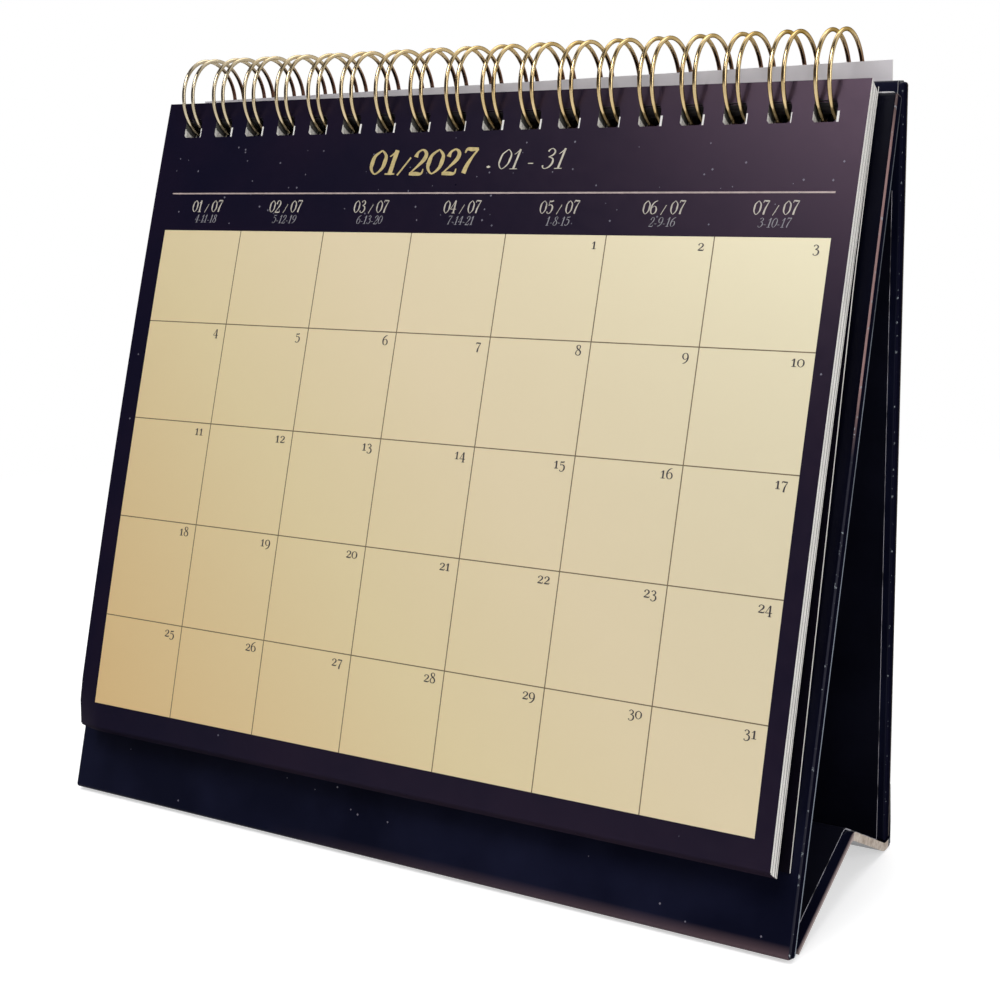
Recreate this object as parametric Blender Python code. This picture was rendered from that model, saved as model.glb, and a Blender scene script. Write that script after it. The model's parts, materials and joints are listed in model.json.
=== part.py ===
"""Wire-bound desk calendar on a folding easel.

Metres, +Z up, the viewer stands on the -Y side. The front board leans back, the back
board stands upright, and a creased base panel holds their feet apart. One gold wire in
double loops binds both boards, the block of month leaves in front and the cover leaf
that has been turned over to the back.

Points of the leaning parts are given as (down, back): "down" runs along the front board
from the top edge of the leaves, "back" is square to it from the board's front face.
"""

import math

import bmesh
import bpy
from mathutils import Vector

# Wire binding
PITCH = 0.008467
ROOT_SPREAD = 0.0026
TIP_SPREAD = 0.0019
RING_RADIUS = 0.0085
WIRE_RADIUS = 0.0004
RING_SETBACK = 0.0013
HANG_CLEARANCE = 0.00033
SPINE_ANGLE = math.radians(-46.0)
TIP_CLEARANCE = 0.0003
SPINE_CORNER = 0.0008
LEG_STEPS = 16
BEND_STEPS = 4
CORNER_STEPS = 2

# Leaves
LEAF_WIDTH = 0.1593
LEAF_HEIGHT = 0.1368
LEAF_THICKNESS = 0.00032
MONTH_LEAVES = 12
HOLE_WIDTH = 0.0044
HOLE_HEIGHT = 0.0040
HOLE_MARGIN = 0.0037
HOLE_SIDE_MARGIN = 0.003

# How the block of leaves stands off the board, and where its last leaf parts from it
BLOCK_FOOT_LIFT = 0.0023
BLOCK_BULGE = 0.0011
LAST_LEAF_PARTS_AT = 0.034
BLOCK_ROWS = 6

# Printed month sheet
GRID_COLUMNS = 7
GRID_LEFT = 0.0047
COLUMN_WIDTH = 0.02147
GRID_TOP = 0.0291
ROW_HEIGHTS = (0.0199, 0.0210, 0.0210, 0.0210, 0.0191)
LINE_WIDTH = 0.00035
RULE_DROP = 0.0205
RULE_WIDTH = 0.0005
RULE_INSET = 0.0054
PRINT_FACING = 0.9

# Boards of the easel
LEAN = math.radians(18.2)
BOARD_THICKNESS = 0.0030
BOARD_OVERHANG = 0.0034
BOARD_EDGE_RADIUS = 0.0006
FRONT_BOARD_LENGTH = 0.1506
FRONT_BOARD_DROP = 0.0010
BACK_BOARD_DROP = 0.0009

# Creased base panel
BASE_THICKNESS = 0.0016
CREASE_HEIGHT = 0.0102
CREASE_SHARE = 0.56

# Paper strips
HINGE_THICKNESS = 0.0005
HINGE_TAIL = 0.0040
LINING_THICKNESS = 0.0003
LINING_RECESS = 0.0021
LINING_TOP = 0.018

# The cover leaf hanging behind the easel
HANG_ANGLE = math.radians(-33.2)
COVER_LIFT = 0.0003
COVER_SKEW = math.radians(0.6)
COVER_YAW = math.radians(0.4)

# Gap left between pieces that touch
SEAT_GAP = 0.0003

# As many holes as the leaf takes at this pitch
LOOP_COUNT = int((LEAF_WIDTH - HOLE_WIDTH - 2 * HOLE_SIDE_MARGIN) / PITCH) + 1
BOARD_WIDTH = LEAF_WIDTH + 2 * BOARD_OVERHANG
BLOCK_FRONT = SEAT_GAP + MONTH_LEAVES * LEAF_THICKNESS
CUT_DEPTH = 0.02

# The front leaf hangs on the wire by the upper edges of its holes, which sets how far the
# centre of the rings stands above the leaves
WIRE_DROP = math.sqrt(RING_RADIUS ** 2 - (BLOCK_FRONT + RING_SETBACK) ** 2)
RING_RISE = WIRE_DROP - WIRE_RADIUS - HANG_CLEARANCE - HOLE_MARGIN


def leaning(down, back):
    """Depth and height of a point of the leaning front board, before the origin is set."""
    depth = back * math.cos(LEAN) - down * math.sin(LEAN)
    height = -down * math.cos(LEAN) - back * math.sin(LEAN)
    return depth, height


def board_foot():
    """Lowest point of the front board: the round of its rear bottom edge."""
    down = FRONT_BOARD_DROP + FRONT_BOARD_LENGTH - BOARD_EDGE_RADIUS
    depth, height = leaning(down, BOARD_THICKNESS - BOARD_EDGE_RADIUS)
    return depth, height - BOARD_EDGE_RADIUS


def set_origin():
    """Shift that puts the origin on the ground, midway between front and rear extremes."""
    ground = board_foot()[1]
    board_front = leaning(FRONT_BOARD_DROP + FRONT_BOARD_LENGTH - BOARD_EDGE_RADIUS, 0.0)[0]
    leaf_front = leaning(LEAF_HEIGHT, -BLOCK_FRONT - BLOCK_FOOT_LIFT)[0]
    ring_rear = leaning(-RING_RISE, RING_SETBACK)[0] + RING_RADIUS + WIRE_RADIUS
    return -(min(board_front, leaf_front) + ring_rear) / 2, -ground


SHIFT_DEPTH, SHIFT_HEIGHT = set_origin()


def placed(down, back):
    """World (y, z) of a point of the leaning front board."""
    depth, height = leaning(down, back)
    return depth + SHIFT_DEPTH, height + SHIFT_HEIGHT


RING_Y, RING_Z = placed(-RING_RISE, RING_SETBACK)
BACK_INNER_Y = placed(FRONT_BOARD_DROP, BOARD_THICKNESS)[0] + SEAT_GAP
BACK_OUTER_Y = BACK_INNER_Y + BOARD_THICKNESS
BACK_FOOT_Z = BASE_THICKNESS + SEAT_GAP
BACK_TOP_Z = RING_Z - BACK_BOARD_DROP


def make_material(name, colour, roughness, metallic=0.0):
    material = bpy.data.materials.new(name)
    material.use_nodes = True
    shader = material.node_tree.nodes["Principled BSDF"]
    shader.inputs["Base Color"].default_value = (*colour, 1.0)
    shader.inputs["Roughness"].default_value = roughness
    shader.inputs["Metallic"].default_value = metallic
    material.diffuse_color = (*colour, 1.0)
    return material


def add_object(name, mesh, *materials):
    thing = bpy.data.objects.new(name, mesh)
    bpy.context.scene.collection.objects.link(thing)
    for material in materials:
        mesh.materials.append(material)
    return thing


def extrude_outline(name, outline, stations):
    """Mesh of a closed (y, z) outline carried along X through the given stations."""
    body = bmesh.new()
    rings = [[body.verts.new((x, y, z)) for y, z in outline] for x in stations]
    for near, far in zip(rings, rings[1:]):
        for i in range(len(outline)):
            j = (i + 1) % len(outline)
            body.faces.new((near[i], near[j], far[j], far[i]))
    body.faces.new(rings[0])
    body.faces.new(rings[-1])
    bmesh.ops.recalc_face_normals(body, faces=body.faces)
    mesh = bpy.data.meshes.new(name)
    body.to_mesh(mesh)
    body.free()
    return mesh


def box_mesh(name, lows, highs):
    """Mesh of one or more boxes, each given by its lowest and highest corner."""
    body = bmesh.new()
    for low, high in zip(lows, highs):
        size = Vector(high) - Vector(low)
        middle = (Vector(high) + Vector(low)) / 2
        made = bmesh.ops.create_cube(body, size=1.0)
        bmesh.ops.scale(body, vec=size, verts=made["verts"])
        bmesh.ops.translate(body, vec=middle, verts=made["verts"])
    mesh = bpy.data.meshes.new(name)
    body.to_mesh(mesh)
    body.free()
    return mesh


def offset_path(path, distance):
    """A (y, z) path moved to its left by a distance, with mitred corners."""
    moved = []
    for i, point in enumerate(path):
        here = Vector(point)
        before = (here - Vector(path[i - 1])).normalized() if i else None
        after = (Vector(path[i + 1]) - here).normalized() if i + 1 < len(path) else None
        before = before or after
        after = after or before
        normal = Vector((-before.y - after.y, before.x + after.x)).normalized()
        mitre = distance / normal.dot(Vector((-after.y, after.x)))
        moved.append(tuple(here + mitre * normal))
    return moved


def strip_outline(path, thickness):
    """Outline of a strip that lies on the left of a path."""
    return path + offset_path(path, thickness)[::-1]


def crossing(start, end, other_start, other_end):
    """Point where the line through the first two points meets the line through the others."""
    along = Vector(end) - Vector(start)
    other = Vector(other_end) - Vector(other_start)
    share = (Vector(other_start) - Vector(start)).cross(other) / along.cross(other)
    return tuple(Vector(start) + share * along)


def loop_centre(index):
    return (index - (LOOP_COUNT - 1) / 2) * PITCH


def hole_cutter(name, centre_y, centre_z):
    """Square punches through a sheet, about (y, z) of the middle of the row."""
    lows = []
    highs = []
    for index in range(LOOP_COUNT):
        x = loop_centre(index)
        lows.append((x - HOLE_WIDTH / 2, centre_y - CUT_DEPTH / 2, centre_z - HOLE_HEIGHT / 2))
        highs.append((x + HOLE_WIDTH / 2, centre_y + CUT_DEPTH / 2, centre_z + HOLE_HEIGHT / 2))
    cutter = add_object(name, box_mesh(name, lows, highs))
    cutter.hide_render = True
    cutter.display_type = "WIRE"
    return cutter


def punch(thing, cutter):
    cut = thing.modifiers.new("Punched holes", "BOOLEAN")
    cut.operation = "DIFFERENCE"
    cut.solver = "EXACT"
    cut.object = cutter


def round_edges(thing):
    bevel = thing.modifiers.new("Wrapped edges", "BEVEL")
    bevel.width = BOARD_EDGE_RADIUS
    bevel.segments = 2
    bevel.limit_method = "ANGLE"


def front_board(wrap):
    """Leaning board, wrapped in dark paper, punched with the leaves."""
    top = -FRONT_BOARD_DROP - RING_RISE
    low = (-BOARD_WIDTH / 2, -RING_SETBACK, top - FRONT_BOARD_LENGTH)
    high = (BOARD_WIDTH / 2, BOARD_THICKNESS - RING_SETBACK, top)
    board = add_object("front_board", box_mesh("front_board", [low], [high]), wrap)
    board.location = (0.0, RING_Y, RING_Z)
    board.rotation_euler.x = -LEAN
    round_edges(board)
    cutter = hole_cutter("front_punch", 0.0, -RING_RISE - HOLE_MARGIN - HOLE_HEIGHT / 2)
    cutter.parent = board
    punch(board, cutter)


def back_board(wrap):
    """Upright board, punched where the loops pass through it."""
    low = (-BOARD_WIDTH / 2, BACK_INNER_Y, BACK_FOOT_Z)
    high = (BOARD_WIDTH / 2, BACK_OUTER_Y, BACK_TOP_Z)
    board = add_object("back_board", box_mesh("back_board", [low], [high]), wrap)
    round_edges(board)
    middle_y = (BACK_INNER_Y + BACK_OUTER_Y) / 2
    drop = math.sqrt(RING_RADIUS ** 2 - (middle_y - RING_Y) ** 2)
    cutter = hole_cutter("back_punch", middle_y, RING_Z - drop)
    punch(board, cutter)


def board_rear_y(height):
    """Depth of the front board's rear face at a height above the ground."""
    corner_y, corner_z = placed(FRONT_BOARD_DROP + FRONT_BOARD_LENGTH, BOARD_THICKNESS)
    return corner_y + (height - corner_z) * math.tan(LEAN)


def base_path():
    """Underside of the base: from behind the front board, over the crease, to the rear foot."""
    foot_y = board_rear_y(0.0)
    crease_y = foot_y + CREASE_SHARE * (BACK_OUTER_Y - foot_y)
    slope = math.atan2(CREASE_HEIGHT, crease_y - foot_y)
    start_y = board_rear_y(BASE_THICKNESS) + SEAT_GAP + BASE_THICKNESS * math.sin(slope)
    return [
        (start_y, 0.0),
        (crease_y, CREASE_HEIGHT),
        (BACK_INNER_Y - SEAT_GAP, 0.0),
        (BACK_OUTER_Y, 0.0),
    ]


def base_panel(board):
    """One board strip, creased upwards along its middle."""
    outline = strip_outline(base_path(), BASE_THICKNESS)
    stations = (-BOARD_WIDTH / 2, BOARD_WIDTH / 2)
    add_object("base_panel", extrude_outline("base_panel", outline, stations), board)


def top_hinge(wrap):
    """Strip of cover paper from the front board's top edge over the back board's top."""
    front_start = placed(FRONT_BOARD_DROP - SEAT_GAP, BOARD_EDGE_RADIUS)
    riser_y = BACK_INNER_Y - SEAT_GAP
    slope = math.tan(LEAN)
    riser_foot_z = front_start[1] - (riser_y - front_start[0]) * slope
    ridge_z = BACK_TOP_Z + SEAT_GAP
    rear_y = BACK_OUTER_Y + SEAT_GAP
    path = [
        front_start,
        (riser_y - HINGE_THICKNESS, riser_foot_z + HINGE_THICKNESS * slope),
        (riser_y, ridge_z),
        (rear_y, ridge_z),
        (rear_y, ridge_z - HINGE_TAIL),
    ]
    outline = strip_outline(path, HINGE_THICKNESS)
    stations = (-BOARD_WIDTH / 2, BOARD_WIDTH / 2)
    add_object("top_hinge", extrude_outline("top_hinge", outline, stations), wrap)


def inner_lining(paper):
    """Paper sheet glued inside the easel: down the front board, over the base, up the back."""
    front_top = placed(LINING_TOP, BOARD_THICKNESS + SEAT_GAP)
    front_low = placed(FRONT_BOARD_LENGTH, BOARD_THICKNESS + SEAT_GAP)
    base_front, crease, rear_bend = offset_path(base_path(), BASE_THICKNESS + SEAT_GAP)[:3]
    rear_top = (BACK_INNER_Y - SEAT_GAP, front_top[1])
    rear_low = (BACK_INNER_Y - SEAT_GAP, 0.0)
    front_foot = crossing(front_top, front_low, base_front, crease)
    rear_foot = crossing(rear_top, rear_low, crease, rear_bend)
    path = [front_top, front_foot, crease, rear_foot, rear_top]
    outline = strip_outline(path, LINING_THICKNESS)
    half = BOARD_WIDTH / 2 - LINING_RECESS
    add_object("inner_lining", extrude_outline("inner_lining", outline, (-half, half)), paper)


def loop_legs(start, end):
    """Half spread and angle along a loop's two legs, which close in towards its tip."""
    legs = []
    for k in range(LEG_STEPS + 1):
        share = k / LEG_STEPS
        half = (ROOT_SPREAD + (TIP_SPREAD - ROOT_SPREAD) * share) / 2
        legs.append((half, start + (end - start) * share))
    return legs


def wire_path():
    """The wire's centre line, laid flat as (x, angle round the ring).

    Each loop is a hairpin: up the rear, over the top, down the front and through the
    punched holes, where a round tip turns it back. Short spine runs join the hairpins.
    """
    root = ROOT_SPREAD / 2
    tip = TIP_SPREAD / 2
    corner = SPINE_CORNER / RING_RADIUS
    tip_radius = tip / RING_RADIUS
    clear = (2 * WIRE_RADIUS + TIP_CLEARANCE) / RING_RADIUS
    leg_end = SPINE_ANGLE + math.tau - clear - tip_radius
    leg_start = SPINE_ANGLE + corner
    legs = loop_legs(leg_start, leg_end)
    path = []
    for index in range(LOOP_COUNT):
        x = loop_centre(index)
        if index:
            for k in range(CORNER_STEPS):
                turn = math.pi / 2 * k / CORNER_STEPS
                path.append((
                    x - root - SPINE_CORNER * (1 - math.sin(turn)),
                    leg_start - corner * math.cos(turn),
                ))
        path += [(x - half, angle) for half, angle in legs]
        for k in range(1, BEND_STEPS):
            turn = math.pi * k / BEND_STEPS
            path.append((x - tip * math.cos(turn), leg_end + tip_radius * math.sin(turn)))
        path += [(x + half, angle) for half, angle in reversed(legs)]
        if index < LOOP_COUNT - 1:
            for k in range(1, CORNER_STEPS + 1):
                turn = math.pi / 2 * k / CORNER_STEPS
                path.append((
                    x + root + SPINE_CORNER * (1 - math.cos(turn)),
                    leg_start - corner * math.sin(turn),
                ))
    return path


def wire_binding(gold):
    curve = bpy.data.curves.new("wire_binding", "CURVE")
    curve.dimensions = "3D"
    curve.bevel_depth = WIRE_RADIUS
    curve.bevel_resolution = 1
    curve.use_fill_caps = True
    points = wire_path()
    # Points lie as far outside the true round as the chords between them lie inside it
    radius = 2 * RING_RADIUS / (1 + math.cos(math.pi / LEG_STEPS))
    spline = curve.splines.new("POLY")
    spline.points.add(len(points) - 1)
    for point, (x, angle) in zip(spline.points, points):
        point.co = (x, radius * math.cos(angle), radius * math.sin(angle), 1.0)
    wire = add_object("wire_binding", curve, gold)
    wire.location = (0.0, RING_Y, RING_Z)


def block_lift(down):
    """How far the block stands off the board at a distance below its top edge."""
    share = down / LEAF_HEIGHT
    return BLOCK_FOOT_LIFT * share + 4 * BLOCK_BULGE * share * (1 - share)


def grid_lines():
    """Places of the printed lines: columns from the middle, rows down from the top edge."""
    left = GRID_LEFT - LEAF_WIDTH / 2
    columns = [left + COLUMN_WIDTH * i for i in range(GRID_COLUMNS + 1)]
    rows = [GRID_TOP]
    for height in ROW_HEIGHTS:
        rows.append(rows[-1] + height)
    return columns, rows


def block_outline():
    """Side outline of the leaves as (back, up) about the ring's centre.

    The front breaks at each printed line. The last leaf rests on the board, and a slit
    that is open at the foot parts it from the others.
    """
    downs = {0.0, RULE_DROP, RULE_DROP + RULE_WIDTH, LEAF_HEIGHT}
    for row in grid_lines()[1]:
        downs.update((row - LINE_WIDTH / 2, row + LINE_WIDTH / 2))
    front = [(down, -BLOCK_FRONT - block_lift(down)) for down in sorted(downs)]
    step = (LEAF_HEIGHT - LAST_LEAF_PARTS_AT) / BLOCK_ROWS
    slit = [LEAF_HEIGHT - step * k for k in range(BLOCK_ROWS + 1)]
    slit_wall = [(down, -SEAT_GAP - LEAF_THICKNESS - block_lift(down)) for down in slit]
    last_leaf = [(LEAF_HEIGHT, -SEAT_GAP - LEAF_THICKNESS), (LEAF_HEIGHT, -SEAT_GAP)]
    rests = (LAST_LEAF_PARTS_AT, LAST_LEAF_PARTS_AT / 2, 0.0)
    rear = [(down, -SEAT_GAP - block_lift(down)) for down in rests]
    outline = front + slit_wall + last_leaf + rear
    return [(back - RING_SETBACK, -down - RING_RISE) for down, back in outline]


def page_block(paper, ground, panel, ink, gold):
    """The month leaves on the rings, with the printed sheet in front."""
    columns, rows = grid_lines()
    rule_end = LEAF_WIDTH / 2 - RULE_INSET
    edges = {-LEAF_WIDTH / 2, -rule_end, rule_end, LEAF_WIDTH / 2}
    for column in columns:
        edges.update((column - LINE_WIDTH / 2, column + LINE_WIDTH / 2))
    mesh = extrude_outline("page_block", block_outline(), sorted(edges))
    block = add_object("page_block", mesh, paper, ground, panel, ink, gold)
    for face in mesh.polygons:
        if face.normal.y < -PRINT_FACING:
            down = -RING_RISE - face.center.z
            face.material_index = print_slot(face.center.x, down, columns, rows)
    block.location = (0.0, RING_Y, RING_Z)
    block.rotation_euler.x = -LEAN
    cutter = hole_cutter("leaf_punch", 0.0, -RING_RISE - HOLE_MARGIN - HOLE_HEIGHT / 2)
    cutter.parent = block
    punch(block, cutter)


def print_slot(across, down, columns, rows):
    """Material slot of the printed sheet: 1 dark ground, 2 panel, 3 grid line, 4 header rule."""
    half = LINE_WIDTH / 2
    in_rule = RULE_DROP < down < RULE_DROP + RULE_WIDTH
    if in_rule and abs(across) < LEAF_WIDTH / 2 - RULE_INSET:
        return 4
    in_columns = columns[0] - half < across < columns[-1] + half
    in_rows = rows[0] - half < down < rows[-1] + half
    if not (in_columns and in_rows):
        return 1
    on_column = any(abs(across - column) < half for column in columns)
    on_row = any(abs(down - row) < half for row in rows)
    return 3 if on_column or on_row else 2


def turned_leaf(paper):
    """The cover leaf, hanging from the rear of the rings with its foot at the back board."""
    hole_y = RING_RADIUS * math.cos(HANG_ANGLE)
    hole_z = RING_RADIUS * math.sin(HANG_ANGLE) + COVER_LIFT
    top = hole_z + HOLE_HEIGHT / 2 + HOLE_MARGIN
    foot_gap = RING_Y + hole_y - BACK_OUTER_Y - SEAT_GAP - LEAF_THICKNESS
    half_turn = math.tan(COVER_YAW) * LEAF_WIDTH / 2
    tuck = math.atan2(foot_gap - half_turn, LEAF_HEIGHT - HOLE_MARGIN)
    low = (-LEAF_WIDTH / 2, hole_y - LEAF_THICKNESS / 2, top - LEAF_HEIGHT)
    high = (LEAF_WIDTH / 2, hole_y + LEAF_THICKNESS / 2, top)
    leaf = add_object("turned_leaf", box_mesh("turned_leaf", [low], [high]), paper)
    leaf.location = (0.0, RING_Y, RING_Z)
    leaf.rotation_euler = (-tuck, -COVER_SKEW, COVER_YAW)
    cutter = hole_cutter("cover_punch", hole_y, hole_z)
    cutter.parent = leaf
    punch(leaf, cutter)


def build():
    for thing in list(bpy.data.objects):
        bpy.data.objects.remove(thing)
    wrap = make_material("Dark laminated wrap", (0.010, 0.011, 0.028), 0.22)
    board = make_material("Grey board", (0.42, 0.36, 0.32), 0.85)
    lining = make_material("Dark lining paper", (0.006, 0.006, 0.016), 0.45)
    gold = make_material("Gold wire", (0.74, 0.56, 0.27), 0.24, 1.0)
    paper = make_material("White card", (0.72, 0.71, 0.68), 0.6)
    ground = make_material("Dark printed ground", (0.022, 0.014, 0.040), 0.3)
    panel = make_material("Pale gold panel", (0.74, 0.62, 0.40), 0.35)
    ink = make_material("Grid line ink", (0.19, 0.13, 0.06), 0.5)
    rule = make_material("Header rule", (0.55, 0.42, 0.36), 0.4)
    front_board(wrap)
    back_board(wrap)
    base_panel(board)
    top_hinge(wrap)
    inner_lining(lining)
    wire_binding(gold)
    page_block(paper, ground, panel, ink, rule)
    turned_leaf(paper)


build()
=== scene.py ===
import json
import math
import random

import bmesh
import bpy
from mathutils import Matrix, Vector


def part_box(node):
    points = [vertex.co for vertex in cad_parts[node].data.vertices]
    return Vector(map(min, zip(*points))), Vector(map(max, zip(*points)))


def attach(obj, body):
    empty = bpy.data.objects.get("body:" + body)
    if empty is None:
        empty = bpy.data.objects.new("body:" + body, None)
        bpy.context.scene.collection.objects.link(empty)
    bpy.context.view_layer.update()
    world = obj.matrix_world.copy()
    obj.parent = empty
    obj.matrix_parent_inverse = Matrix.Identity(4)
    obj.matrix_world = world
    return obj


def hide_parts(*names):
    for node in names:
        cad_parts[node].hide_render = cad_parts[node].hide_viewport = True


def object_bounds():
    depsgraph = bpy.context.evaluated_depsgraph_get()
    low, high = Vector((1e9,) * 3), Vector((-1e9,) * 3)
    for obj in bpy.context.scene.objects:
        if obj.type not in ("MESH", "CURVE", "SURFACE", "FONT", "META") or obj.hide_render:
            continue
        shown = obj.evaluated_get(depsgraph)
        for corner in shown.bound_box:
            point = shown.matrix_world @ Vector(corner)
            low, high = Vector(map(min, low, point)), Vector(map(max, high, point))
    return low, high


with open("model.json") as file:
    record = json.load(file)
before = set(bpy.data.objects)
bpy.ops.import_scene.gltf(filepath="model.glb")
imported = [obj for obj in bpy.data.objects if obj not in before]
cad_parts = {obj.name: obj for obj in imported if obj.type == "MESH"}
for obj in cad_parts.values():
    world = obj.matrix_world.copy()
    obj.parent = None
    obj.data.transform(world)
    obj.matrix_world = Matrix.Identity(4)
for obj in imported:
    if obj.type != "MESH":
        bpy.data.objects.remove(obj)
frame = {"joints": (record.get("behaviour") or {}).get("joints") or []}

cad_low, cad_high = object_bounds()

# Every piece is placed from the centre of the wire's rings, which both joints turn about
RING = Vector(frame["joints"][0]["pos_m"])
EASEL = "easel"
LEAVES = "month_leaves"
COVER = "cover_leaf"

# Camera, fitted to the photograph as a frame of 1000 by 1000
CAMERA_PLACE = (0.17630, -0.27202, 0.14360)
CAMERA_TURN = (76.668, 1.711, 30.858)
CAMERA_LENS = 59.98

# Wire binding, in metres
PITCH = 0.008467
LOOP_COUNT = 18
RING_RADIUS = 0.0085
WIRE_RADIUS = 0.0004
ROOT_SPREAD = 0.0026
TIP_SPREAD = 0.0019
SPINE_ANGLE = math.radians(-46.0)
SPINE_CORNER = 0.0008
TIP_CLEARANCE = 0.0003
LOOP_SWAY = 0.00010
LOOP_BULGE = 0.0002
LOOP_LEAN = -0.0005
LEG_STEPS = 56
BEND_STEPS = 12
CORNER_STEPS = 5

# Leaning front of the easel: "down" runs along the board from the top edge of the leaves,
# "back" is square to it from the board's front face
LEAN = math.radians(18.2)
RING_RISE = 0.0021012
RING_SETBACK = 0.0013
SEAT_GAP = 0.0003

# Leaves
LEAF_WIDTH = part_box("page_block")[1][0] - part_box("page_block")[0][0]
LEAF_HEIGHT = 0.1368
LEAF_STEP = 0.00032
LEAF_CARD = 0.00031
MONTH_LEAVES = 12
HOLE_WIDTH = 0.0044
HOLE_HEIGHT = 0.0040
HOLE_MARGIN = 0.0037
HOLE_ROUND = 0.0005
HOLE_TEAR = 0.00045
FOOT_LIFT = 0.0023
BULGE = 0.0011
LAST_LEAF_PARTS_AT = 0.034
CURL_REACH = 0.009
CURL_DEPTH = 0.0014
LEAF_SHIFT = 0.00003
LEAF_HANG = (0.0002, 0.0013)
LAST_LEAF_SKEW = 0.010
LAST_LEAF_DROP = 0.0003
LAST_LEAF_CARD = 0.00045
BLOCK_TWIST = math.radians(0.13)
LEAF_TWIST = math.radians(0.008)
CELL_WIDTH = 0.004
CELL_HEIGHT = 0.006

# Printed month sheet: columns from its left edge, rows down from its top edge
GRID_LEFT = 0.0040
PANEL_TRIM = 0.0005
COLUMN_WIDTH = 0.02169
GRID_TOP = 0.0284
ROW_HEIGHTS = (0.0201, 0.0213, 0.0214, 0.0214, 0.0191)
LINE_WIDTH = 0.00022
RULE_DROP = 0.0201
RULE_WIDTH = 0.00032
RULE_LEFT = 0.0050
RULE_RIGHT = 0.0038
INK_FRONT = 0.000022
INK_BACK = 0.000004
INK_STEP = 0.000002

# Boards
BOARD_THICKNESS = 0.0030
BOARD_OVERHANG = 0.0034
BOARD_ROUND = 0.0006
BOARD_CELL = 0.02
PUNCH_DEPTH = 0.02
# Bevel facings that take the folds with their painted glints, and the heights of the front fold's
# painted glint
GLINT_FACING = (0.5, 0.87)
REAR_LINE = 0.00035
GLINT_LOW = 0.070
GLINT_HIGH = 0.160
NEVER_GLINTING = 1.0
FRONT_BOARD_LENGTH = 0.1506
FRONT_BOARD_DROP = 0.0010
BOARD_WIDTH = LEAF_WIDTH + 2 * BOARD_OVERHANG
BACK_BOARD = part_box("back_board")

# Creased base, lining and the strip that hinges the boards
BASE_THICKNESS = 0.0016
BASE_TURN_IN = 0.0009
CREASE_HEIGHT = 0.0102
CREASE_SHARE = 0.56
CREASE_ROUND = 0.0012
LINING_THICKNESS = 0.00026
LINING_GAP = 0.00010
LINING_RECESS = 0.0016
SCUFF_HEIGHT = 0.0032
LINING_TOP = 0.018
LINING_LEAVES_BASE = 0.014
HINGE_THICKNESS = 0.0002
HINGE_GAP = 0.00006
HINGE_TAIL = 0.0040
HINGE_ROUND = 0.0003
HINGE_INSET = 0.0010
REAR_WRAP = ((-0.0006, 0.0130), (0.0001, 0.0050), (0.00015, 0.0003))
REAR_WRAP_THICKNESS = 0.0002

# Studio: floor, where its shadow runs out to white, and what the gloss mirrors
FLOOR_RADIUS = 6.0
FLOOR_DROP = 0.0002
SHADOW_REACH = (0.12, 0.40)
MIRRORED_DARK = (0.035, 0.030, 0.034)
LAMP_AIM = Vector((0.0, 0.0, 0.08))

# Cover leaf behind the easel
HANG_ANGLE = math.radians(-33.2)
COVER_SKEW = math.radians(1.1)
COVER_LIFT = 0.0006
COVER_SHIFT = -0.0008
COVER_YAW = math.radians(0.4)

random.seed(12)


def leaning(across, down, back):
    """World place of a point of the leaning front."""
    y = back - RING_SETBACK
    z = -down - RING_RISE
    return RING + Vector((
        across,
        y * math.cos(LEAN) + z * math.sin(LEAN),
        z * math.cos(LEAN) - y * math.sin(LEAN),
    ))


def block_lift(down):
    """How far the block of leaves stands off the board."""
    share = down / LEAF_HEIGHT
    return FOOT_LIFT * share + 4 * BULGE * share * (1 - share)


def corner_curl(across, down):
    """How far the lower left corner of the leaves bends back."""
    reach = (across + LEAF_WIDTH / 2) / CURL_REACH + (LEAF_HEIGHT - down) / CURL_REACH
    return CURL_DEPTH * max(0.0, 1 - reach) ** 2


def leaf_front(across, down, layer):
    """Place of the front of a leaf on "back", layer 0 being the sheet on show."""
    stack = SEAT_GAP + (MONTH_LEAVES - layer) * LEAF_STEP
    lift = block_lift(down) - corner_curl(across, down)
    if layer == MONTH_LEAVES - 1:
        parted = max(0.0, (down - LAST_LEAF_PARTS_AT) / (LEAF_HEIGHT - LAST_LEAF_PARTS_AT))
        lift = block_lift(min(down, LAST_LEAF_PARTS_AT)) * (1 - parted)
    return -stack - lift


def hung(across, down, back):
    """World place of a point of the leaves, which hang a little askew on the wire."""
    lever = down - HOLE_MARGIN - HOLE_HEIGHT / 2
    return leaning(across + BLOCK_TWIST * lever, down - BLOCK_TWIST * across, back)


# Node helpers for the materials

BLACK = (0.0, 0.0, 0.0)
WHITE = (1.0, 1.0, 1.0)
RIGHT = (1.0, 0.0, 0.0)
BACK = (0.0, 1.0, 0.0)
UP = (0.0, 0.0, 1.0)


def grey(light):
    return (light, light, light)


def times(share, colour):
    return tuple(share * part for part in colour)


def plug(socket, value):
    """Link an input to an output or set it to a value, colours being given without alpha."""
    if isinstance(value, bpy.types.NodeSocket):
        socket.id_data.links.new(value, socket)
    elif socket.type == "RGBA":
        socket.default_value = (*value, 1.0)
    else:
        socket.default_value = value


def add_node(tree, kind, *values, **settings):
    """New node: values go to its first inputs, settings to its properties and other inputs."""
    node = tree.nodes.new("ShaderNode" + kind)
    for name, value in settings.items():
        if hasattr(node, name):
            setattr(node, name, value)
        else:
            plug(node.inputs[name], value)
    for socket, value in zip(node.inputs, values):
        plug(socket, value)
    return node


def new_material(name, colour, roughness, metallic=0.0, specular=0.5):
    material = bpy.data.materials.new(name)
    material.use_nodes = True
    material.diffuse_color = (*colour, 1.0)
    shader = material.node_tree.nodes["Principled BSDF"]
    plug(shader.inputs["Base Color"], colour)
    plug(shader.inputs["Roughness"], roughness)
    plug(shader.inputs["Metallic"], metallic)
    plug(shader.inputs["Specular IOR Level"], specular)
    return material, shader


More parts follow.
